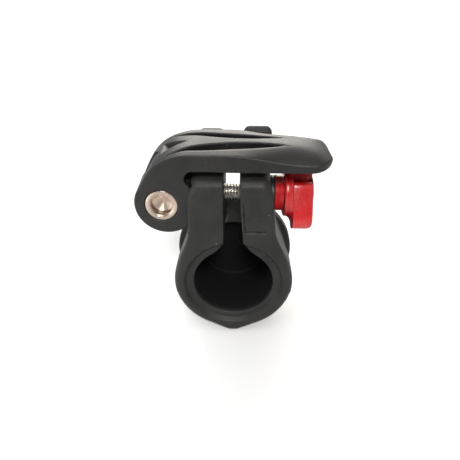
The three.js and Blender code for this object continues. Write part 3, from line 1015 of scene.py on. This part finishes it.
class CLAMP_OT_body(bpy.types.Operator):
    """Build the moulded clamp body with its collar, ears, keel, flange and guards"""

    bl_idname = "pipe_clamp.body"
    bl_label = "Clamp Body"

    def execute(self, context):
        sizes, colours = context.scene.clamp_sizes, context.scene.clamp_colours
        field = clamp_field(sizes.bore_radius / MM, sizes.collar_radius / MM)
        axes = grid_lines(BODY_LOW, BODY_HIGH, 0.8, 0.4)
        points, quads = surface_net(field, axes)
        piece = mesh_piece("body_moulding", points, quads, "clamp", "clamp_body")
        # The last argument, 1.0, turns on the painted shade inside the collar's bore
        dress(piece, moulded_nylon("body_nylon", tuple(colours.nylon), 0.0003, 0.5, 0.2, 0.2, 1.0))
        saddle = frame["nodes"]["cam_saddle"]
        dress(saddle, plated_steel("saddle_steel", (0.45, 0.45, 0.46), 0.3))
        return {"FINISHED"}


class CLAMP_OT_lever(bpy.types.Operator):
    """Build the cam lever with its lobe, its two lens openings and its hollow underside"""

    bl_idname = "pipe_clamp.lever"
    bl_label = "Cam Lever"

    def execute(self, context):
        colours = context.scene.clamp_colours
        axes = grid_lines(LEVER_LOW, LEVER_HIGH, 0.7, 0.33)
        points, quads = surface_net(lever_field(), axes)
        piece = mesh_piece("lever_moulding", points, quads, "lever", "cam_lever")
        dress(piece, moulded_nylon("lever_nylon", tuple(colours.lever), 0.00034, 0.46, 0.3, 0.24))
        return {"FINISHED"}


class CLAMP_OT_tie(bpy.types.Operator):
    """Build the threaded tie bolt and the drilled pivot barrel"""

    bl_idname = "pipe_clamp.tie"
    bl_label = "Tie Bolt and Barrel"

    def execute(self, context):
        pitch = context.scene.clamp_sizes.thread_pitch / MM
        points, quads = threaded_bolt(pitch, THREAD_R, THREAD_DEPTH)
        bolt = mesh_piece("threaded_tie", points, quads, "tie", "tie_bolt")
        dress(weld(bolt, 80), plated_steel("bolt_steel", (0.62, 0.59, 0.55), 0.24))
        points, quads = turned(barrel_profile(DRILL_R, DRILL_DEPTH, DRILL_POINT), 96, on_pin)
        barrel = mesh_piece("turned_barrel", points, quads, "tie", "pivot_barrel")
        dress(weld(barrel, 24), turned_steel("barrel_steel", (0.47, 0.385, 0.32)))
        return {"FINISHED"}


class CLAMP_OT_knob(bpy.types.Operator):
    """Build the winged knob, its brass insert and the thrust washer"""

    bl_idname = "pipe_clamp.knob"
    bl_label = "Knob"

    def execute(self, context):
        sizes, colours = context.scene.clamp_sizes, context.scene.clamp_colours
        points, quads = knob_surface(sizes.wing_turn)
        knob = mesh_piece("winged_knob", points, quads, "knob", "wing_knob")
        dress(weld(knob, 40), red_plastic("knob_red", tuple(colours.knob)))
        profile = washer_profile(INSERT_LOW[0], INSERT_HIGH[0], 3.05, 4.2, 0.2)
        points, quads = turned(profile, 72, on_tie)
        insert = mesh_piece("knob_bush", points, quads, "knob", "knob_insert")
        dress(weld(insert, 35), turned_brass("insert_brass", (0.66, 0.48, 0.2)))
        profile = washer_profile(WASHER_LOW[0], WASHER_HIGH[0], 3.3, 5.8, 0.25)
        points, quads = turned(profile, 72, on_tie)
        washer = mesh_piece("washer_ring", points, quads, "thrust", "thrust_washer")
        dress(weld(washer, 35), moulded_nylon("washer_nylon", (0.03, 0.03, 0.031), 0.0002, 0.4, 0.2))
        return {"FINISHED"}


class CLAMP_PT_panel(bpy.types.Panel):
    """The clamp's settings and build steps"""

    bl_label = "Pipe Clamp"
    bl_idname = "CLAMP_PT_panel"
    bl_space_type = "VIEW_3D"
    bl_region_type = "UI"
    bl_category = "Pipe Clamp"

    def draw(self, context):
        layout = self.layout
        for group in (context.scene.clamp_sizes, context.scene.clamp_colours):
            for name in group.bl_rna.properties.keys():
                if name not in ("rna_type", "name"):
                    layout.prop(group, name)
        for step in OPERATORS:
            layout.operator(step.bl_idname)


OPERATORS = (CLAMP_OT_stage, CLAMP_OT_body, CLAMP_OT_lever, CLAMP_OT_tie, CLAMP_OT_knob)
CLASSES = (ClampSizes, ClampColours, *OPERATORS, CLAMP_PT_panel)


def register():
    for cls in CLASSES:
        bpy.utils.register_class(cls)
    bpy.types.Scene.clamp_sizes = PointerProperty(type=ClampSizes)
    bpy.types.Scene.clamp_colours = PointerProperty(type=ClampColours)


def unregister():
    del bpy.types.Scene.clamp_colours
    del bpy.types.Scene.clamp_sizes
    for cls in reversed(CLASSES):
        bpy.utils.unregister_class(cls)


def main():
    """Builds the stage and every piece."""
    register()
    bpy.ops.pipe_clamp.stage()
    bpy.ops.pipe_clamp.body()
    bpy.ops.pipe_clamp.lever()
    bpy.ops.pipe_clamp.tie()
    bpy.ops.pipe_clamp.knob()


if __name__ == "__main__":
    main()
